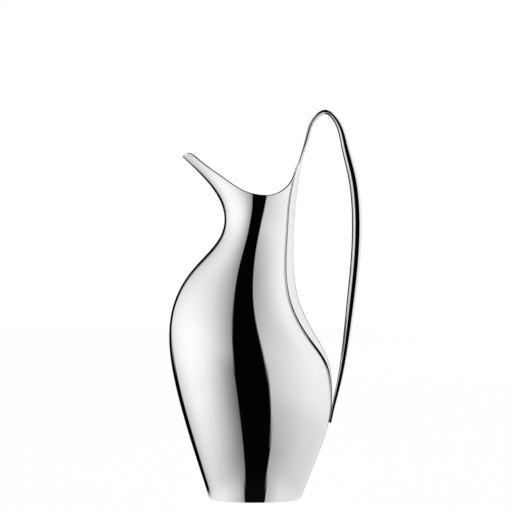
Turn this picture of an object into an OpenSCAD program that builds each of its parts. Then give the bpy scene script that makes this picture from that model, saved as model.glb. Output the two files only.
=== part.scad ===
// Water jug of mirror-polished sheet steel: a tall body that leans into a drawn-out lip,
// with a hollow strap handle that grows out of the back of the rim and lands on the belly.
// The lip points along -X, the handle stands on +X, and the jug rests on the plane Z = 0.

/* [Body] */
// Height over the top of the handle
jug_h = 345; // [276:1:414]
// Length of the body from the front bulge to the back bulge
belly_w = 144; // [116:1:172]
// Thickness of the body from side to side at the belly
belly_d = 118; // [96:1:140]
// Thickness of the sheet
wall = 1.2; // [0.8:0.1:2]

/* [Base] */
// Height of the weld between the body and the base pan
seam_z = 7; // [6.5:0.5:12]
// Outer radius of the pan's corner
corner_r = 2.5; // [2.2:0.1:6]
// Width of the flat ring that the jug stands on
ring_w = 5; // [3:0.5:9]
// Rise of the pan's middle above the table
dome_h = 3; // [1:0.5:8]

/* [Handle] */
// Widest width of the handle, from side to side
handle_w = 17; // [13:0.5:21]
// Greatest thickness of the handle, from front to back
handle_t = 8.5; // [6.5:0.5:11]
// Thickness of the two handle pressings
handle_wall = 1.2; // [0.8:0.1:1.5]

/* [Hidden] */

// The outlines below are drawn for a jug 345 tall, 144 long and 118 thick
tall = jug_h / 345;
long = belly_w / 144;
thick = belly_d / 118;

// Second derivatives at the knots [t, value] of a smooth curve with free ends
function swept(k) =
    [for (i = 0, s = [0, 0 * k[0][1]]; i < len(k) - 1; i = i + 1,
        s = i < len(k) - 1 ? swept_next(k, i, s) : s) s];
function swept_next(k, i, s) =
    let (before = k[i][0] - k[i - 1][0], after = k[i + 1][0] - k[i][0],
        turn = (k[i + 1][1] - k[i][1]) / after - (k[i][1] - k[i - 1][1]) / before,
        pivot = 2 * (before + after) - before * s[0])
    [after / pivot, (6 * turn - before * s[1]) / pivot];
function bend(s, i) = i == len(s) ? 0 * s[0][1] : s[i][1] - s[i][0] * bend(s, i + 1);
function fair(k) =
    let (s = swept(k)) [k, [for (i = [0 : len(k) - 1]) i == 0 ? 0 * k[0][1] : bend(s, i)]];
// Value of such a curve at t
function at(curve, t) =
    let (k = curve[0], m = curve[1],
        i = max([for (j = [0 : len(k) - 2]) if (j == 0 || k[j][0] < t) j]),
        h = k[i + 1][0] - k[i][0], a = (k[i + 1][0] - t) / h, b = 1 - a)
    a * k[i][1] + b * k[i + 1][1]
        + ((a ^ 3 - a) * m[i] + (b ^ 3 - b) * m[i + 1]) * h ^ 2 / 6;

// Front and back outlines, as [height, distance from the middle of the base]
front = fair([[0, -40], [40, -53], [100, -70], [145, -76], [180, -69.5], [205, -54],
              [230, -32.5], [250, -27], [275, -37], [305, -65.5]]);
back = fair([[0, 40], [45, 58], [75, 67], [100, 68.5], [125, 64.5], [150, 51],
             [175, 39.5], [220, 34], [265, 36.5], [300, 41.5]]);
// Where each level section is thickest, as [height, distance from the middle of the base]
crown = fair([[0, -0.5], [55, 0.5], [110, -4], [170, -10.5], [215, -6], [250, 2],
              [280, 3], [305, -8]]);
// Half of the body's thickness, as [height, half thickness]
half = fair([[0, 34], [45, 48.5], [90, 57], [130, 59], [170, 52.5], [205, 41], [245, 31.5],
             [270, 30.5], [285, 26], [305, 18]]);
// How much fuller the back of a section is than its front, as [height, share]
egg = fair([[0, 0], [230, 0], [270, 0.02], [305, 0.2]]);
// The rim seen from the side, as [distance from the middle of the base, height]
rim = fair([[-65, 303.8], [-60, 306.8], [-50, 301.3], [-30, 286.6], [-12, 274.6],
            [6, 269.6], [18, 270.6], [27, 276], [34, 286], [41, 308]]);
// Height at which the back tongue of the rim is cut off square for the handle
tongue_z = 297 * tall;
// The rim search starts below its lowest point and ends above its highest
rim_from = 255 * tall;
rim_to = 310 * tall;
rim_step = 1;

// Point of the outer skin at a height and a turn, 0 at the back and 180 at the front
function skin(z, turn) =
    let (f = at(front, z / tall), b = at(back, z / tall), mid = (b + f) / 2,
        lean = at(crown, z / tall) - mid)
    [long * (mid + (b - f) / 2 * cos(turn) + lean * sin(turn) ^ 2),
     thick * at(half, z / tall) * sin(turn) * (1 + at(egg, z / tall) * cos(turn)), z];
// Height of a skin point above the rim, negative below it
function over_rim(z, turn) =
    let (x = skin(z, turn)[0] / long) z - tall * at(rim, min(max(x, -66), 41));
function first_over(turn, z = rim_from) =
    z >= rim_to || over_rim(z, turn) > 0 ? z : first_over(turn, z + rim_step);
function halved(turn, low, high, n = 10) =
    n == 0 ? high : let (mid = (low + high) / 2)
    over_rim(mid, turn) > 0 ? halved(turn, low, mid, n - 1) : halved(turn, mid, high, n - 1);
function rim_z(turn) =
    let (z = first_over(turn), edge = halved(turn, z - rim_step, z))
    turn < 90 ? min(edge, tongue_z) : edge;

// Point of the inner skin, one wall inside the outer skin along its normal
nudge = 0.2;
function outward(z, turn) =
    let (n = cross(skin(z, turn + nudge) - skin(z, turn - nudge),
        skin(z + nudge, turn) - skin(z - nudge, turn))) n / norm(n);
function lining(z, turn, depth) =
    let (p = skin(z, turn) - depth * outward(z, turn), on_seam = turn % 180 == 0,
        level = z == seam_z || z == tongue_z)
    [p[0], on_seam ? 0 : p[1], level ? z : p[2]];

// Grid of a body half: columns close up where the rim runs along the lip
columns = concat([for (turn = [0 : 7 : 133]) turn], [for (turn = [136 : 2 : 152]) turn],
                 [for (turn = [156 : 6 : 180]) turn]);
low_rows = 22;
high_rows = 11;
neck_z = 225 * tall;
function row_z(row, top) =
    row <= low_rows ? seam_z + (neck_z - seam_z) * row / low_rows
    : row == low_rows + high_rows ? top
    : neck_z + (top - neck_z) * (row - low_rows) / high_rows;

// Two triangles for the four corners of a grid cell
function cell(a, b, c, d) = [[a, b, c], [a, c, d]];

module body_half() {
    tops = [for (turn = columns) rim_z(turn)];
    n = len(columns);
    last = low_rows + high_rows;
    outer = [for (row = [0 : last]) for (i = [0 : n - 1])
        skin(row_z(row, tops[i]), columns[i])];
    inner = [for (row = [0 : last]) for (i = [0 : n - 1])
        lining(row_z(row, tops[i]), columns[i], wall)];
    in = len(outer);
    skins = [for (row = [0 : last - 1]) for (i = [0 : n - 2])
        let (a = row * n + i, b = a + 1, c = b + n, d = a + n)
        each concat(cell(d, c, b, a), cell(in + a, in + b, in + c, in + d))];
    ends = [for (i = [0 : n - 2]) let (a = i, b = i + 1, c = last * n + i, d = c + 1)
        each concat(cell(in + b, in + a, a, b), cell(d, c, in + c, in + d))];
    sides = [for (row = [0 : last - 1])
        let (a = row * n, b = a + n, c = a + n - 1, d = b + n - 1)
        each concat(cell(in + a, in + b, b, a), cell(c, d, in + d, in + c))];
    polyhedron(concat(outer, inner), concat(skins, ends, sides));
}

// Left and right are those of a person holding the handle
module body_right_half() {
    color("silver") body_half();
}

module body_left_half() {
    color("silver") mirror([0, 1, 0]) body_half();
}

// Lean of the wall at the base, in degrees, which the pan's corner carries on
foot_lean = 18;
corner_steps = 4;
dome_steps = 5;
// The ring is left proud by this much and then faced off flat
facing = 0.1;

// Corner of the pan as [distance in from the foot of the wall, height]
function corner(r, steps) =
    [for (i = [0 : steps]) let (a = foot_lean + (90 - foot_lean) * i / corner_steps)
        [corner_r * cos(foot_lean) - r * cos(a), corner_r - r * sin(a)]];
// Point of the pan a distance in from the foot of the wall
function foot(inset, z, turn) =
    let (z0 = corner_r * (1 - sin(foot_lean)), n = outward(z0, turn),
        p = skin(z0, turn) - inset * [n[0], n[1], 0] / norm([n[0], n[1]]))
    [p[0], p[1], z];
// Point of the dome, where reach is 1 at the ring and 0 in the middle
function dome(reach, lift, turn) =
    let (p = foot(corner_r * cos(foot_lean) + ring_w, 0, turn))
    [p[0] * reach, p[1] * reach, lift + dome_h * (1 - reach ^ 2)];

module base_pan() {
    around = concat(columns, [for (i = [len(columns) - 2 : -1 : 1]) 360 - columns[i]]);
    n = len(around);
    ring_in = corner_r * cos(foot_lean);
    outside = concat(corner(corner_r, corner_steps - 1),
        [[ring_in, -facing], [ring_in + ring_w, -facing]]);
    inside = concat(corner(corner_r - wall, corner_steps), [[ring_in + ring_w, wall]]);
    domes = [for (i = [1 : dome_steps - 1]) 1 - i / dome_steps];
    outer = concat([for (turn = around) skin(seam_z, turn)],
        [for (row = outside) for (turn = around) foot(row[0], row[1], turn)],
        [for (reach = domes) for (turn = around) dome(reach, 0, turn)]);
    inner = concat([for (turn = around) lining(seam_z, turn, wall)],
        [for (row = inside) for (turn = around) foot(row[0], row[1], turn)],
        [for (reach = domes) for (turn = around) dome(reach, wall, turn)]);
    in = len(outer);
    rows_out = len(outer) / n;
    rows_in = len(inner) / n;
    tip = in + len(inner);
    faces_out = [for (row = [0 : rows_out - 2]) for (i = [0 : n - 1])
        let (a = row * n + i, b = row * n + (i + 1) % n)
        each cell(a, b, b + n, a + n)];
    faces_in = [for (row = [0 : rows_in - 2]) for (i = [0 : n - 1])
        let (a = in + row * n + i, b = in + row * n + (i + 1) % n)
        each cell(a + n, b + n, b, a)];
    edge = [for (i = [0 : n - 1]) let (b = (i + 1) % n) each cell(in + i, in + b, b, i)];
    middle = [for (i = [0 : n - 1]) let (b = (i + 1) % n, a = in - n, c = in + len(inner) - n)
        each [[a + i, a + b, tip], [c + b, c + i, tip + 1]]];
    color("silver") difference() {
        polyhedron(concat(outer, inner, [dome(0, 0, 0), dome(0, wall, 0)]),
            concat(faces_out, faces_in, edge, middle));
        translate([-belly_w, -belly_w, -1]) cube([2 * belly_w, 2 * belly_w, 1]);
    }
}

// The handle's lower end lies on the back of the belly, with this much room for the weld
weld_gap = 0.1;
t_scale = handle_t / 8.5;
w_scale = handle_w / 17;
function back_x(z) = at(back, z);
root_t = 1.6;
root_bow = 1.6;
// Stations along the handle, from the rim to the belly:
// [distance back, height, thickness, width, bow towards the fingers, squareness]
stations = [
    [back_x(297) - (root_bow + t_scale * root_t / 2) / long, 297, root_t, 17, root_bow, 1.5],
    [42.6, 309, 2.2, 16, 0.6, 1.5],
    [45.9, 319, 3.1, 15, 0.1, 1.3],
    [52.9, 337.3, 3.4, 14.5, 0, 1],
    [62, 343.6, 3.5, 14, 0, 1],
    [72.3, 335.7, 4.7, 14, 0, 1],
    [79.8, 314, 6.8, 14, 0, 1],
    [86.5, 287, 8, 14.5, 0, 1],
    [90.3, 250, 8.5, 15, 0, 1],
    [89, 211, 8.3, 15, 0, 1],
    [84.8, 171, 7.6, 14, 0, 1],
    [79.8, 132, 5.6, 13, 0, 1.2],
    [74.1, 101, 3.8, 11, 0, 1.8],
    [back_x(80) + (weld_gap + t_scale * 1.3) / long, 80, 2.6, 9.5, 0, 2.4],
    [back_x(68) + (weld_gap + t_scale * 1.1) / long, 68, 2.2, 8, 0, 2.4]
];
placed = [for (s = stations)
    [s[0] * long, s[1] * tall, s[2] * t_scale / 2, s[3] * w_scale / 2, s[4], s[5]]];
function run(i) = i == 0 ? 0
    : run(i - 1) + norm([placed[i][0] - placed[i - 1][0], placed[i][1] - placed[i - 1][1]]);
handle = fair([for (i = [0 : len(placed) - 1]) [run(i), placed[i]]]);
handle_rings = 60;
handle_arc = 8;
// A hollow always stays open by this much
least_hollow = 0.1;
// Powers of the section's outline where the squareness is 1, for the pressing turned away
// from the fingers and for the one they hold: 2 would make it an ellipse
away_power = 4.2;
grip_power = 3.3;
// The seam between the pressings lies this share of the half thickness outside the middle
seam_share = 0.14;

function soft(share, power) = sign(share) * abs(share) ^ (2 / power);
// Point of the handle's section at a place along it and an angle round it, one depth in.
// side is 1 for the surface turned away from the fingers and -1 for the one they hold.
function strap(along, angle, depth, side) =
    let (s = at(handle, along),
        d = at(handle, min(along + nudge, run(len(placed) - 1)))
            - at(handle, max(along - nudge, 0)),
        away = [-d[1], d[0]] / norm([d[0], d[1]]), seam = seam_share * s[2],
        deep = max(s[2] - side * seam - depth, depth > 0 ? least_hollow : 0),
        power = s[5] * (side > 0 ? away_power : grip_power), u = soft(cos(angle), power),
        rise = side * deep * soft(sin(angle), power) + seam - s[4] * (1 - u ^ 2))
    [s[0] + away[0] * rise, (s[3] - depth) * u,
     along == 0 ? tongue_z : s[1] + away[1] * rise];

module handle_shell(side) {
    rings = [for (i = [0 : handle_rings]) run(len(placed) - 1) * i / handle_rings];
    n = 2 * (handle_arc + 1);
    points = [for (along = rings) each concat(
        [for (i = [0 : handle_arc]) strap(along, 180 * i / handle_arc, 0, side)],
        [for (i = [handle_arc : -1 : 0]) strap(along, 180 * i / handle_arc, handle_wall, side)])];
    walls = [for (row = [0 : handle_rings - 1]) for (i = [0 : n - 1])
        let (a = row * n + i, b = row * n + (i + 1) % n)
        each cell(a, b, b + n, a + n)];
    caps = [for (i = [0 : handle_arc - 1]) let (last = handle_rings * n)
        each concat(cell(n - 1 - i, n - 2 - i, i + 1, i),
            cell(last + i, last + i + 1, last + n - 2 - i, last + n - 1 - i))];
    faces = concat(walls, caps);
    polyhedron(points, side < 0 ? faces : [for (f = faces) [f[2], f[1], f[0]]]);
}

// The pressing that faces the mouth, the sky and then the world behind the jug
module handle_outer_shell() {
    color("silver") handle_shell(1);
}

// The pressing that the fingers close on
module handle_inner_shell() {
    color("silver") handle_shell(-1);
}

body_left_half();
body_right_half();
base_pan();
handle_outer_shell();
handle_inner_shell();
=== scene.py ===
import math

import bpy
import numpy as np
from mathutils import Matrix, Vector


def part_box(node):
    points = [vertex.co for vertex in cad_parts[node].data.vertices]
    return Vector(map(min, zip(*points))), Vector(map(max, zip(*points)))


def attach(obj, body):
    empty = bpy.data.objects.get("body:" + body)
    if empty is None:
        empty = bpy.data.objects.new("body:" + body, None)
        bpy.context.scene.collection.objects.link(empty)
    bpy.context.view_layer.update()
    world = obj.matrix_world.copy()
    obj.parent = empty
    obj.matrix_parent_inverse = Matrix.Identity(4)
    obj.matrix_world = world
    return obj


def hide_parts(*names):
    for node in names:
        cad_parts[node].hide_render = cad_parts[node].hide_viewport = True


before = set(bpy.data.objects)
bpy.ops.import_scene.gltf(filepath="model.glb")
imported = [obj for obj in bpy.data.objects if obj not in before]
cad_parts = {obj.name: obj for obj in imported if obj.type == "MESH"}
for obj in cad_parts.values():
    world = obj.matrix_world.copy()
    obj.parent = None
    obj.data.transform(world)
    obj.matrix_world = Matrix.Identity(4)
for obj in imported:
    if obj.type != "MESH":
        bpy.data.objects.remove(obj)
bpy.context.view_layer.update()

# ---------------------------------------------------------------------------------------
# Body halves. Two deep-drawn pressings of 1.2 mm stainless sheet, one for each side, butt
# welded up the front and the back. The welds are ground flush and the whole skin is buffed
# to a mirror, and the cut edge of the rim is rounded over by hand.
# ---------------------------------------------------------------------------------------
MM = 0.001


def fair(knots):
    """Smooth curve with free ends through knots [t, value, ...]."""
    k = np.array(knots, float)
    t, v = k[:, 0], k[:, 1:]
    h = np.diff(t)
    a, r = np.eye(len(t)), np.zeros_like(v)
    for i in range(1, len(t) - 1):
        a[i, i - 1 : i + 2] = h[i - 1], 2 * (h[i - 1] + h[i]), h[i]
        r[i] = 6 * ((v[i + 1] - v[i]) / h[i] - (v[i] - v[i - 1]) / h[i - 1])
    m = np.linalg.solve(a, r)

    def at(x):
        x = np.asarray(x, float)
        i = np.clip(np.searchsorted(t, x) - 1, 0, len(t) - 2)
        g = h[i][..., None]
        b = (x - t[i])[..., None] / g
        c = 1 - b
        out = c * v[i] + b * v[i + 1] + ((c**3 - c) * m[i] + (b**3 - b) * m[i + 1]) * g**2 / 6
        return out[..., 0] if v.shape[1] == 1 else out

    return at


def unit(v):
    return v / np.linalg.norm(v, axis=-1, keepdims=True)


# The outlines are drawn in millimetres for a jug 345 tall, 144 long and 118 thick
low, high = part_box("body_right_half")
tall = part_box("handle_outer_shell")[1].z / MM / 345
long = (high.x - low.x) / MM / 144.5
thick = high.y / MM / 59.1
wall = 1.2
seam_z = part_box("base_pan")[1].z / MM

# Front and back outlines, the fullest line and the half thickness, each against height
front = fair([[0, -40], [40, -53], [100, -70], [145, -76], [180, -69.5], [205, -54],
              [230, -32.5], [250, -27], [275, -37], [305, -65.5]])
back = fair([[0, 40], [45, 58], [75, 67], [100, 68.5], [125, 64.5], [150, 51],
             [175, 39.5], [220, 34], [265, 36.5], [300, 41.5]])
crown = fair([[0, -0.5], [55, 0.5], [110, -4], [170, -10.5], [215, -6], [250, 2],
              [280, 3], [305, -8]])
half = fair([[0, 34], [45, 48.5], [90, 57], [130, 59], [170, 52.5], [205, 41], [245, 31.5],
             [270, 30.5], [285, 26], [305, 18]])
# How much fuller the back of a level section is than its front
egg = fair([[0, 0], [230, 0], [270, 0.02], [305, 0.2]])
# The rim seen from the side, as [distance from the middle of the base, height]
rim = fair([[-65, 303.8], [-60, 306.8], [-50, 301.3], [-30, 286.6], [-12, 274.6],
            [6, 269.6], [18, 270.6], [27, 276], [34, 286], [41, 308]])
# Height of the level cut that the handle is welded to
tongue_z = 297 * tall
# How far the skin stops short of the rim line, for the rounded edge that stands on it
edge_drop = 1.1
# Distance over which the edge changes, below the rim and below the level cut
edge_run = 6


def skin(z, turn):
    """Outer skin at a height and a turn in degrees, 0 at the back and 180 at the front."""
    z, turn = np.broadcast_arrays(z, np.radians(turn))
    f, b = front(z / tall), back(z / tall)
    mid = (b + f) / 2
    x = mid + (b - f) / 2 * np.cos(turn) + (crown(z / tall) - mid) * np.sin(turn) ** 2
    y = half(z / tall) * np.sin(turn) * (1 + egg(z / tall) * np.cos(turn))
    return np.stack([long * x, thick * y, z], -1)


def outward(z, turn, step=0.05):
    """Unit normal of the skin, from its slopes round the body and up it."""
    across = skin(z, turn + step) - skin(z, turn - step)
    up = skin(z + step, turn) - skin(z - step, turn)
    return unit(np.cross(across, up))


def over_rim(z, turn):
    """Height of a skin point above the line where the rounded edge starts."""
    x = np.clip(skin(z, turn)[..., 0] / long, -66, 41)
    steep = np.hypot(1, rim(x + 0.1) / 0.2 - rim(x - 0.1) / 0.2)
    to_tongue = np.clip((tongue_z - z) / edge_run, 0, 1)
    return z + edge_drop * (1 + (steep - 1) * to_tongue) - tall * rim(x)


def rim_height(turn):
    """Height at which the skin ends, below the rim line by the edge that is rounded on to
    it, or at the level cut under the handle. A ladder from under the rim's lowest point to
    over its highest finds the first rung above the line, and halving finds the place."""
    rung = 0.5 * tall
    ladder = np.arange(255 * tall, 311 * tall, rung)[:, None]
    first = np.argmax(over_rim(ladder, turn) > 0, 0)
    top = ladder[first, 0]
    bottom = top - rung
    for _ in range(30):
        mid = (top + bottom) / 2
        above = over_rim(mid, turn) > 0
        top, bottom = np.where(above, mid, top), np.where(above, bottom, mid)
    return np.where(turn < 90, np.minimum(top, tongue_z), top)


def swept_solid(name, points, normals, flat=(), ring=False, lids=(), gaps=()):
    """Closed mesh from sections [station, place round the section, xyz] in millimetres.
    flat strips and the end caps keep their own face normals, every other strip is shaded by
    the given normals. A ring joins its last section to its first; gaps are strips left out,
    and lids are places round the section whose loop is closed by one flat face."""
    count, m = points.shape[:2]
    i = np.arange(count if ring else count - 1)[:, None]
    j = np.array([k for k in range(m) if k not in gaps])[None, :]
    i2, j2 = (i + 1) % count, (j + 1) % m
    quads = np.stack(np.broadcast_arrays(i * m + j, i2 * m + j, i2 * m + j2, i * m + j2), -1)
    smooth = np.broadcast_to(~np.isin(j, flat), quads.shape[:2]).ravel()
    faces = quads.reshape(-1, 4).tolist()
    if not ring:
        k = np.arange(m // 2 - 1)
        cap = np.stack([k, k + 1, m - 2 - k, m - 1 - k], -1)
        faces += cap.tolist() + (cap[:, ::-1] + (count - 1) * m).tolist()
        if m % 2:
            tip = m // 2 + np.array([[-1, 0, 1]])
            faces += tip.tolist() + (tip[:, ::-1] + (count - 1) * m).tolist()
    for k, turned in lids:
        loop = (np.arange(count) * m + k).tolist()
        faces.append(loop[::-1] if turned else loop)
    shaded = np.zeros(len(faces), bool)
    shaded[: len(smooth)] = smooth
    mesh = bpy.data.meshes.new(name)
    mesh.from_pydata((points.reshape(-1, 3) * MM).tolist(), [], faces)
    mesh.polygons.foreach_set("use_smooth", shaded)
    given = normals.reshape(-1, 3)
    corners = np.zeros((len(mesh.loops), 3))
    used = np.repeat(shaded, [len(f) for f in faces])
    where = np.zeros(len(mesh.loops), np.int32)
    mesh.loops.foreach_get("vertex_index", where)
    corners[used] = given[where[used]]
    mesh.normals_split_custom_set(corners.tolist())
    mesh.update()
    piece = bpy.data.objects.new(name, mesh)
    bpy.context.scene.collection.objects.link(piece)
    return piece


def fine_rows(top):
    """Heights up the wall: 110 even rows to the neck, then 55 shared out to the rim column
    by column."""
    neck = 225 * tall
    lower = np.linspace(seam_z, neck, 111)[:-1, None] + 0 * top
    upper = neck + (top - neck) * np.linspace(0, 1, 56)[:, None]
    return np.concatenate([lower, upper]).T


# Columns close up where the rim runs out along the lip
turns = np.concatenate([np.arange(0, 132, 1.5), np.arange(132, 156, 0.5),
                        np.arange(156, 180.1, 1.5)])
tops = rim_height(turns)
on_tongue = (turns < 90) & (tops >= tongue_z - 1e-6)
heights = fine_rows(tops)
outer = skin(heights, turns[:, None])
outer_normal = outward(heights, turns[:, None])
# The sheet thickens inwards to the rim, away from the tongue that carries the handle
rim_t = 2.0
to_rim = np.clip(1 - (tops[:, None] - heights) / edge_run, 0, 1)
off_tongue = np.clip(2 * (tongue_z - tops) / edge_run, 0, 1)
off_tongue[turns > 90] = 1
sheet_t = wall + (rim_t - wall) * to_rim**2 * off_tongue[:, None]
inner = outer - sheet_t[..., None] * outer_normal
# The rounded edge stands up from the rim line, square to it
along_edge = np.gradient(outer[:, -1], axis=0)
along_edge[[0, -1]] *= [0, 1, 0]
over = unit(np.cross(outer_normal[:, -1], along_edge))
over *= np.sign(np.sum(over * (skin(tops + 1, turns) - skin(tops, turns)), -1))[:, None]
edge_round = rim_t / 2 * off_tongue
# The cut edges at the pan, at the handle and along both seams are flat
inner[:, 0, 2] = seam_z
inner[on_tongue, -1, 2] = tongue_z
for seam in (0, -1):
    inner[seam, :, 1] = 0
bend = np.radians(np.arange(15, 180, 15))[None, :, None]
middle = (outer[:, -1:] + inner[:, -1:]) / 2
n_top, o_top = outer_normal[:, -1:], over[:, None]
r_top = edge_round[:, None, None]
half_t = np.linalg.norm(outer[:, -1:] - inner[:, -1:], axis=-1, keepdims=True) / 2
lip = middle + half_t * np.cos(bend) * n_top + r_top * np.sin(bend) * o_top
lip_normal = unit(np.cos(bend) * n_top * (r_top + 0.01) + np.sin(bend) * o_top * half_t)
profile = np.concatenate([outer, lip, inner[:, ::-1]], 1)
profile_normal = np.concatenate([outer_normal, lip_normal, -outer_normal[:, ::-1]], 1)
mirror = np.array([1, -1, 1])
body_right = swept_solid("body_right", profile, profile_normal, flat=[profile.shape[1] - 1])
body_left = swept_solid("body_left", profile[::-1] * mirror, profile_normal[::-1] * mirror,
                        flat=[profile.shape[1] - 1])


def srgb(code):
    """Linear colour of an sRGB hex code."""
    c = [int(code[i : i + 2], 16) / 255 for i in (1, 3, 5)]
    return [v / 12.92 if v <= 0.04045 else ((v + 0.055) / 1.055) ** 2.4 for v in c] + [1]


def add(material, kind, inputs=None, **settings):
    """Adds one node. inputs maps a socket to a value or to the output that feeds it."""
    tree = material.node_tree
    made = tree.nodes.new(kind)
    for key, value in settings.items():
        setattr(made, key, value)
    for key, value in (inputs or {}).items():
        if isinstance(value, bpy.types.NodeSocket):
            tree.links.new(value, made.inputs[key])
        else:
            made.inputs[key].default_value = value
    return made


def new_material(name):
    material = bpy.data.materials.new(name)
    material.use_nodes = True
    material.node_tree.nodes.clear()
    return material


def polished_steel(name, colour, shade, buffing, haze):
    """Mirror-buffed stainless steel, a clear mirror a shade greyer than silver, softened a
    little by the marks of the wheel. buffing is how often the marks repeat per metre along
    X, Y and Z, which is coarser than the real ones so that they show, and haze is the
    roughness that they leave, from least to most."""
    m = new_material(name)
    place = add(m, "ShaderNodeTexCoord").outputs["Object"]
    lay = add(m, "ShaderNodeMapping", {"Vector": place, "Scale": buffing})
    marks = add(m, "ShaderNodeTexNoise", {"Vector": lay.outputs[0], "Scale": 1.0,
                                          "Detail": 4.0, "Roughness": 0.6})
    cloud = add(m, "ShaderNodeTexNoise", {"Vector": place, "Scale": 35.0, "Detail": 3.0})
    rough = add(m, "ShaderNodeMapRange", {"Value": marks.outputs["Fac"], "From Min": 0.3,
                                          "From Max": 0.7, "To Min": haze[0],
                                          "To Max": haze[1]})
    tint = add(m, "ShaderNodeMix", {"Factor": cloud.outputs["Fac"], "A": srgb(colour),
                                    "B": srgb(shade)}, data_type="RGBA")
    # The marks are about a tenth of a micrometre deep
    relief = add(m, "ShaderNodeBump", {"Height": marks.outputs["Fac"], "Strength": 0.25,
                                       "Distance": 0.0000004})
    steel = add(m, "ShaderNodeBsdfPrincipled", {"Metallic": 1.0,
                                                "Base Color": tint.outputs["Result"],
                                                "Roughness": rough.outputs["Result"],
                                                "Normal": relief.outputs["Normal"]})
    add(m, "ShaderNodeOutputMaterial", {"Surface": steel.outputs["BSDF"]})
    return m


# The body is buffed up and down on a soft wheel, so its marks are long in Z
body_steel = polished_steel("mirror_buffed_steel_body", "#F4F4F4", "#EEEEEE",
                            (900, 900, 60), (0.012, 0.03))
for piece, node in ((body_right, "body_right_half"), (body_left, "body_left_half")):
    piece.data.materials.append(body_steel)
    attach(piece, "root")
    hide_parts(node)

# ---------------------------------------------------------------------------------------
# Base pan. A shallow stamped dish of the same sheet, welded to the foot of the body. A
# rolled corner leads to the narrow flat ring that the jug stands on, and the middle is
# domed up clear of the table. Buffed in circles on a lathe.
# ---------------------------------------------------------------------------------------
corner_r = 2.5
ring_w = 5
dome_h = 3

around = np.concatenate([turns, 360 - turns[-2:0:-1]])
# The corner starts where its arc runs on smoothly from the leaning wall
foot_z = np.full(around.shape, corner_r)
for _ in range(12):
    foot_z = corner_r * (1 + outward(foot_z, around)[:, 2])
foot_normal = outward(foot_z, around)
lean = np.arcsin(-foot_normal[:, 2])
level = unit(foot_normal * [1, 1, 0])
heart = skin(foot_z, around) - corner_r * foot_normal


def pan_corner(radius, share):
    """Corner arc from the wall, share 0, to the ring, share 1, and its normals."""
    a = (lean + (math.pi / 2 - lean) * share)[:, None]
    n = np.cos(a) * level - np.sin(a) * np.array([0, 0, 1])
    return heart + radius * n, n


drop = np.linspace(0, 1, 5)[:-1]
wall_z = [seam_z + (foot_z - seam_z) * s for s in drop]
down = np.array([0.0, 0, -1])
outside = [(skin(z, around), outward(z, around)) for z in wall_z]
inside = [(p - wall * n, -n) for p, n in outside]
outside += [pan_corner(corner_r, s) for s in np.linspace(0, 1, 13)]
inside += [(p, -n) for p, n in [pan_corner(corner_r - wall, s) for s in np.linspace(0, 1, 9)]]
ring_edge = heart + corner_r * down - ring_w * level
ring_edge[:, 2] = 0
spread = np.linalg.norm(ring_edge, axis=1)[:, None]
# The dome, from the inner edge of the ring to a small flat disc in the middle
for reach in np.linspace(1, 0.04, 20):
    p = ring_edge * reach
    n = unit(-2 * dome_h * reach / spread * unit(ring_edge) + down) if reach < 1 else \
        np.broadcast_to(down, p.shape)
    rise = dome_h * (1 - reach**2)
    outside.append((p + [0, 0, rise], n))
    inside.append((p + [0, 0, rise + wall], -n))
inside[0][0][:, 2] = seam_z
shell = outside + inside[::-1]
pan_points = np.stack([p for p, n in shell], 1)
pan_normals = np.stack([np.broadcast_to(n, p.shape) for p, n in shell], 1)
base = swept_solid("base", pan_points[::-1], pan_normals[::-1], flat=[len(shell) - 1],
                   ring=True, lids=[(len(outside) - 1, False), (len(outside), True)],
                   gaps=[len(outside) - 1])
base_steel = polished_steel("mirror_buffed_steel_base", "#F4F4F4", "#EEEEEE",
                            (500, 500, 500), (0.012, 0.03))
base.data.materials.append(base_steel)
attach(base, "root")
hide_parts("base_pan")

# ---------------------------------------------------------------------------------------
# Handle shells. Two long pressings of thin sheet, one turned away from the fingers and one
# that they close on, welded along both sides into a hollow strap with softly squared
# sides. It is butt welded to the tongue at the back of the rim and lands on the belly.
# ---------------------------------------------------------------------------------------
# The lower end stands this far off the belly, in place of its weld
weld_gap = 0.1
# Thickness of the upper end, and how far it bows to sit on the curved cut of the tongue
root_t = 1.6
root_bow = 1.6
# Powers of the outline of the two pressings where the squareness is 1: 2 is an ellipse
section_power = {1: 4.2, -1: 3.3}
# How far the seam between the pressings lies outwards, as a share of half the thickness
seam_share = 0.14
handle_wall = 1.2
# The hollow thins out to this where the handle is thinner than its two walls
least_hollow = 0.1


def back_x(z):
    return float(back(z))


# From rim to belly: [distance back, height, thickness, width, bow towards the fingers,
# squareness]
stations = np.array([
    [back_x(297) - (root_bow + root_t / 2) / long, 297, root_t, 17, root_bow, 1.5],
    [42.6, 309, 2.2, 16, 0.6, 1.5],
    [45.9, 319, 3.1, 15, 0.1, 1.3],
    [52.9, 337.3, 3.4, 14.5, 0, 1],
    [62, 343.6, 3.5, 14, 0, 1],
    [72.3, 335.7, 4.7, 14, 0, 1],
    [79.8, 314, 6.8, 14, 0, 1],
    [86.5, 287, 8, 14.5, 0, 1],
    [90.3, 250, 8.5, 15, 0, 1],
    [89, 211, 8.3, 15, 0, 1],
    [84.8, 171, 7.6, 14, 0, 1],
    [79.8, 132, 5.6, 13, 0, 1.2],
    [74.1, 101, 3.8, 11, 0, 1.8],
    [back_x(80) + (weld_gap + 1.3) / long, 80, 2.6, 9.5, 0, 2.4],
    [back_x(68) + (weld_gap + 1.1) / long, 68, 2.2, 8, 0, 2.4],
])
placed = stations * [long, tall, 0.5, 0.5, 1, 1]
chords = np.linalg.norm(np.diff(placed[:, :2], axis=0), axis=1)
run = np.concatenate([[0], np.cumsum(chords)])
handle = fair(np.column_stack([run, placed]))
end = run[-1]


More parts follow.
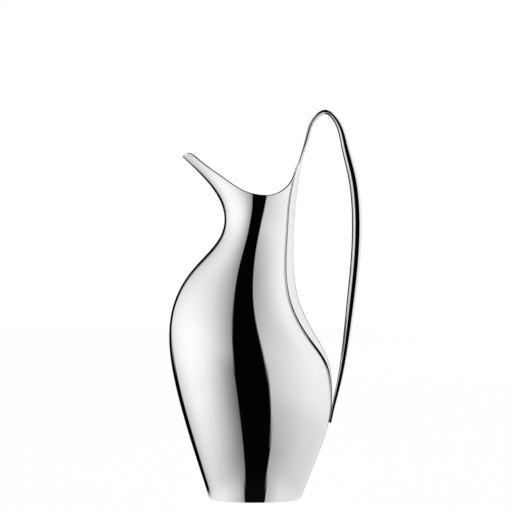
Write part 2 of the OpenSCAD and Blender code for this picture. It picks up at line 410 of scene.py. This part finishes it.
def strap(along, angle, depth, side):
    """Handle section with its normals, and the direction along the handle. along is the
    distance from the upper end, angle goes round the pressing from one seam to the other,
    and depth is 0 for its outside and the wall for its inside. side is 1 for the pressing
    turned away from the fingers, -1 for theirs."""
    along, angle = np.broadcast_arrays(along, angle)
    s = handle(along)
    ahead = handle(np.minimum(along + 0.05, end)) - handle(np.maximum(along - 0.05, 0))
    forward = unit(ahead[..., :2])
    away = np.stack([-forward[..., 1], forward[..., 0]], -1)
    power = s[..., 5] * section_power[side]
    u = np.sign(np.cos(angle)) * np.abs(np.cos(angle)) ** (2 / power)
    v = np.abs(np.sin(angle)) ** (2 / power)
    wide = s[..., 3] - depth
    deep = s[..., 2] * (1 - side * seam_share) - depth
    deep = np.maximum(deep, least_hollow) if depth > 0 else deep
    bow = s[..., 4]
    rise = side * deep * v + seam_share * s[..., 2] - bow * (1 - u**2)
    x = s[..., 0] + away[..., 0] * rise
    z = np.where(along == 0, tongue_z, s[..., 1] + away[..., 1] * rise)
    flat_v = v ** (power - 1) / deep
    across = (np.sign(u) * np.abs(u) ** (power - 1) - side * 2 * bow * u * flat_v) / wide
    normal = np.stack([away[..., 0] * side * flat_v, across, away[..., 1] * side * flat_v], -1)
    ahead = np.stack([forward[..., 0], 0 * x, forward[..., 1]], -1)
    return np.stack([x, wide * u, z], -1), unit(normal), ahead


def handle_surface(along, angle, depth, side):
    """Points of a pressing and their normals, leant for how the section changes along it."""
    p, n, ahead = strap(along, angle, depth, side)
    near = np.clip(along, 0.2, end - 0.2)
    change = strap(near + 0.1, angle, depth, side)[0] - strap(near - 0.1, angle, depth, side)[0]
    lean_by = np.sum(n * change, -1) / np.sum(ahead * change, -1)
    return p, unit(n - lean_by[..., None] * ahead)


places = np.concatenate([[0], np.linspace(0.6, end - 0.6, 280), [end]])[:, None]
# Places round the section, closer together on the flat sides
arc = np.radians(np.concatenate([[0, 0.3, 1.2, 2.7, 5], np.arange(9, 90, 4.5)]))
arc = np.concatenate([arc, [math.pi / 2], math.pi - arc[::-1]])[None, :]
handle_steel = polished_steel("mirror_buffed_steel_handle", "#F4F4F4", "#EEEEEE",
                              (900, 900, 90), (0.012, 0.03))
for side, name, node in ((1, "handle_outer", "handle_outer_shell"),
                         (-1, "handle_inner", "handle_inner_shell")):
    out_p, out_n = handle_surface(places, arc, 0, side)
    in_p, in_n = handle_surface(places, arc, handle_wall, side)
    points = np.concatenate([out_p, in_p[:, ::-1]], 1)
    normals = np.concatenate([out_n, -in_n[:, ::-1]], 1)
    m = points.shape[1]
    if side > 0:
        points, normals = points[::-1], normals[::-1]
    shell = swept_solid(name, points, normals, flat=[m // 2 - 1, m - 1])
    shell.data.materials.append(handle_steel)
    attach(shell, "root")
    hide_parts(node)

# ---------------------------------------------------------------------------------------
# Floor. A pale backlit acrylic sheet, wide enough to have no visible edge. Its own light
# is not seen in the steel, which only mirrors the light tent below.
# ---------------------------------------------------------------------------------------
def sheet(name, x, y, z):
    mesh = bpy.data.meshes.new(name)
    mesh.from_pydata([(-x, -y, z), (x, -y, z), (x, y, z), (-x, y, z)], [], [(0, 1, 2, 3)])
    made = bpy.data.objects.new(name, mesh)
    bpy.context.scene.collection.objects.link(made)
    return made


floor = sheet("floor", 12, 12, 0)
# Opal acrylic looks like an even white glow
acrylic = new_material("backlit_white_acrylic")
grain = add(acrylic, "ShaderNodeTexNoise", {"Scale": 3.0, "Detail": 2.0})
glow = add(acrylic, "ShaderNodeMapRange", {"Value": grain.outputs["Fac"], "To Min": 0.97,
                                           "To Max": 1.0})
lit = add(acrylic, "ShaderNodeEmission", {"Color": srgb("#FFFFFF"),
                                          "Strength": glow.outputs["Result"]})
dull = add(acrylic, "ShaderNodeBsdfDiffuse", {"Color": srgb("#3A3A3A")})
both = add(acrylic, "ShaderNodeAddShader", {0: lit.outputs[0], 1: dull.outputs[0]})
add(acrylic, "ShaderNodeOutputMaterial", {"Surface": both.outputs[0]})
floor.data.materials.append(acrylic)
floor.visible_glossy = False

# ---------------------------------------------------------------------------------------
# Light tent. A round shell of white cloth lit from outside by a light at each side. It is
# left open on a dark room in a slit in front and overhead, and black cloth closes it behind
# the jug, mostly on the lip's side. The camera looks in through the slit.
# ---------------------------------------------------------------------------------------
tent_r = 5.0
tent_axis = (-0.001, -0.012, 0.17)


def tent_shell():
    rows, cols = 48, 96
    points = [(0, 0, -tent_r), (0, 0, tent_r)]
    for i in range(1, rows):
        up = math.pi * (i / rows - 0.5)
        points += [(tent_r * math.cos(up) * math.cos(math.tau * j / cols),
                    tent_r * math.cos(up) * math.sin(math.tau * j / cols),
                    tent_r * math.sin(up)) for j in range(cols)]
    faces = []
    for j in range(cols):
        k = (j + 1) % cols
        faces += [(0, 2 + k, 2 + j)]
        faces += [(2 + i * cols + j, 2 + i * cols + k, 2 + i * cols + cols + k,
                   2 + i * cols + cols + j) for i in range(rows - 2)]
        faces += [(1, 2 + (rows - 2) * cols + j, 2 + (rows - 2) * cols + k)]
    mesh = bpy.data.meshes.new("light_tent")
    mesh.from_pydata(points, [], faces)
    made = bpy.data.objects.new("light_tent", mesh)
    bpy.context.scene.collection.objects.link(made)
    made.location = tent_axis
    return made


def bearing_of(material, place):
    """Angle round the jug as a fraction: 0.5 in front, 0.75 on the handle's side."""
    axes = add(material, "ShaderNodeSeparateXYZ", {0: place})
    toward = add(material, "ShaderNodeMath", {0: axes.outputs["Y"], 1: -1.0},
                 operation="MULTIPLY")
    angle = add(material, "ShaderNodeMath", {0: axes.outputs["X"], 1: toward.outputs[0]},
                operation="ARCTAN2")
    return add(material, "ShaderNodeMapRange", {"Value": angle.outputs[0],
                                                "From Min": -math.pi,
                                                "From Max": math.pi}).outputs["Result"]


def grey_ramp(material, fraction, stops):
    """Colour ramp from [bearing in degrees, sRGB grey] stops."""
    ramp = add(material, "ShaderNodeValToRGB", {"Fac": fraction})
    bar = ramp.color_ramp.elements
    bar.remove(bar[0])
    for i, (angle, grey) in enumerate(stops):
        stop = bar[0] if i == 0 else bar.new(angle / 360 + 0.5)
        stop.position = angle / 360 + 0.5
        stop.color = srgb("#" + 3 * ("%02X" % round(grey)))
    return ramp.outputs["Color"]


tent = tent_shell()
tent.visible_camera = False
# Lit white cloth looks like a soft glow, brightest where a light stands behind it
cloth = new_material("translucent_tent_cloth")
place = add(cloth, "ShaderNodeTexCoord").outputs["Object"]
bearing = bearing_of(cloth, place)
flat_xy = add(cloth, "ShaderNodeVectorMath", {0: place, 1: (1, 1, 0)}, operation="MULTIPLY")
radius = add(cloth, "ShaderNodeVectorMath", {0: flat_xy.outputs[0]}, operation="LENGTH")
height = add(cloth, "ShaderNodeSeparateXYZ", {0: place}).outputs["Z"]
climb = add(cloth, "ShaderNodeMath", {0: height, 1: radius.outputs["Value"]},
            operation="ARCTAN2").outputs[0]
# Bearings are in degrees, 0 in front and positive on the handle's side, and greys from 0 to
# 255. The greys are set at these shares of the way from the slit to a light, and from the
# light to the black cloth behind.
side_lights = (-85, 92)
to_light = (0, 0.1, 0.2, 0.35, 0.5, 0.7, 1)
past_light = (0.25, 0.5, 0.75, 1)
dark_room = 3
# How softly the cloth ends, at the slit and at the black cloth on each side
slit_soft = 0.4
black_soft = (3, 1)


def cloth_greys(slit, black, lip_side, handle_side):
    """Greys round one band of the tent. Each side has its grey by the slit, abreast of its
    light and at the back, and a power that says how steeply the light dies off to the slit."""
    sides = []
    for k, (by_slit, abreast, behind, power) in enumerate((lip_side, handle_side)):
        edge, lamp, back_edge = slit[k], side_lights[k], black[k]
        stops = [[edge + (lamp - edge) * s, abreast - (abreast - by_slit) * (1 - s) ** power]
                 for s in to_light]
        stops += [[lamp + (back_edge - lamp) * s, abreast - (abreast - behind) * s**2]
                  for s in past_light]
        sides.append(stops)
    dark_from = [[-180, dark_room], [black[0] - black_soft[0], dark_room]]
    opening = [[slit[0] + slit_soft, dark_room], [slit[1] - slit_soft, dark_room]]
    dark_to = [[black[1] + black_soft[1], dark_room]]
    return dark_from + sides[0][::-1] + opening + sides[1] + dark_to


# From the floor upwards: where a band takes over, in degrees above the level, then the
# bearings of the slit's edges and of the black cloth, and for the lip's side and the
# handle's side the grey by the slit, abreast of the light and at the back, and the power
bands = [
    ((-61, -60), (-22, 22), (-175, 178), (180, 225, 130, 1.5), (190, 225, 225, 1.5)),
    ((-58, -36), (-22, 23), (-127, 178), (115, 208, 180, 2), (165, 208, 215, 1.5)),
    ((-34, -20), (-21.5, 20.5), (-135, 178), (100, 243, 185, 2.2), (180, 218, 217, 1.5)),
    ((-20, -10), (-22, 20), (-135, 168), (110, 249, 210, 2.6), (195, 234, 218, 1.5)),
    ((-10, 2), (-20.5, 18.5), (-142, 167), (145, 250, 220, 2.6), (195, 239, 225, 1.5)),
    ((10, 38), (-19, 18), (-150, 167), (140, 227, 190, 2.2), (155, 238, 222, 1)),
]
light = None
for (low_edge, high_edge), slit, black, lip_side, handle_side in bands:
    tone = grey_ramp(cloth, bearing, cloth_greys(slit, black, lip_side, handle_side))
    if light is None:
        light = tone
        continue
    share = add(cloth, "ShaderNodeMapRange", {"Value": climb,
                                              "From Min": math.radians(low_edge),
                                              "From Max": math.radians(high_edge)})
    light = add(cloth, "ShaderNodeMix", {"Factor": share.outputs["Result"], "A": light,
                                         "B": tone}, data_type="RGBA").outputs["Result"]
# The opening overhead, whose edge is between these two angles, shows the dark room
opening_edge = (46, 52)
share = add(cloth, "ShaderNodeMapRange", {"Value": climb,
                                          "From Min": math.radians(opening_edge[0]),
                                          "From Max": math.radians(opening_edge[1])})
light = add(cloth, "ShaderNodeMix", {"Factor": share.outputs["Result"], "A": light,
                                     "B": srgb("#030303")}, data_type="RGBA").outputs["Result"]
tent_strength = 1.15
shining = add(cloth, "ShaderNodeEmission", {"Color": light, "Strength": tent_strength})
add(cloth, "ShaderNodeOutputMaterial", {"Surface": shining.outputs[0]})
tent.data.materials.append(cloth)

# ---------------------------------------------------------------------------------------
# Black card. A sheet of matt board, about as wide as the body, stands upright close behind
# the jug. It darkens the handle's finger side, and so the mirror image of the handle in the
# body, a dark line that follows the handle.
# ---------------------------------------------------------------------------------------
card_x = (-0.085, 0.055)
card_y = 0.1
card_z = (-0.4, 0.5)
card_mesh = bpy.data.meshes.new("black_card")
card_mesh.from_pydata([(card_x[0], card_y, card_z[0]), (card_x[1], card_y, card_z[0]),
                       (card_x[1], card_y, card_z[1]), (card_x[0], card_y, card_z[1])],
                      [], [(0, 1, 2, 3)])
card = bpy.data.objects.new("black_card", card_mesh)
bpy.context.scene.collection.objects.link(card)
card.visible_camera = False
card.visible_diffuse = False
card.visible_shadow = False
# Dyed fibre board looks evenly black and shows no glint
board = new_material("matt_black_board")
fibre = add(board, "ShaderNodeTexNoise", {"Scale": 900.0, "Detail": 3.0})
tone = add(board, "ShaderNodeMix", {"Factor": fibre.outputs["Fac"], "A": srgb("#040404"),
                                    "B": srgb("#0A0A0A")}, data_type="RGBA")
matt = add(board, "ShaderNodeBsdfDiffuse", {"Color": tone.outputs["Result"]})
add(board, "ShaderNodeOutputMaterial", {"Surface": matt.outputs[0]})
card_mesh.materials.append(board)

# ---------------------------------------------------------------------------------------
# Foot reflection. A glowing patch under the table's surface, seen only by the steel, paints
# the table that the foot mirrors. It is bright, except for a wedge in front that holds a
# painted reflection of the tent's dark slit, carried up to the jug. It fades out away from the
# foot.
# ---------------------------------------------------------------------------------------
painted_foot_reflection = sheet("painted_foot_reflection", 0.1, 0.1, -0.0005)
painted_foot_reflection.visible_camera = False
painted_foot_reflection.visible_diffuse = False
painted_foot_reflection.location = (tent_axis[0], tent_axis[1], 0)
# A plain bright glow painted in for the table that the foot mirrors
near = new_material("painted_table_reflection_at_foot")
place = add(near, "ShaderNodeTexCoord").outputs["Object"]
# Painted reflection: the dark wedge in front, grey 10, is the tent's dark slit as the table
# would mirror it
painted_slit_and_table = grey_ramp(near, bearing_of(near, place),
                  [[-180, 245], [-60, 245], [-30, 200], [-20.6, 150], [-20.2, 10], [24.8, 10],
                   [25.2, 190], [50, 235], [179, 245]])
radius = add(near, "ShaderNodeVectorMath", {0: place}, operation="LENGTH")
fade = add(near, "ShaderNodeMapRange", {"Value": radius.outputs["Value"], "From Min": 0.035,
                                        "From Max": 0.07}, interpolation_type="SMOOTHSTEP")
lit = add(near, "ShaderNodeEmission", {"Color": painted_slit_and_table})
clear = add(near, "ShaderNodeBsdfTransparent")
both = add(near, "ShaderNodeMixShader", {0: fade.outputs["Result"], 1: lit.outputs[0],
                                         2: clear.outputs[0]})
add(near, "ShaderNodeOutputMaterial", {"Surface": both.outputs[0]})
painted_foot_reflection.data.materials.append(near)

# ---------------------------------------------------------------------------------------
# Room and camera. The room beyond is plain white. The camera stands level in front of the
# jug's left side, a little above its middle, with a long lens.
# ---------------------------------------------------------------------------------------
world = bpy.data.worlds.new("white_room")
world.use_nodes = True
world.node_tree.nodes["Background"].inputs["Color"].default_value = srgb("#FFFFFF")
world.node_tree.nodes["Background"].inputs["Strength"].default_value = 1.0
bpy.context.scene.world = world
bpy.context.scene.view_settings.view_transform = "Standard"

camera = bpy.data.objects.new("camera", bpy.data.cameras.new("camera"))
bpy.context.scene.collection.objects.link(camera)
camera.location = (0.001, -2.2, 0.2157)
camera.rotation_euler = (math.radians(90), 0, 0)
camera.data.lens = 174.4
camera.data.sensor_width = 36
camera.data.clip_end = 100
bpy.context.scene.camera = camera
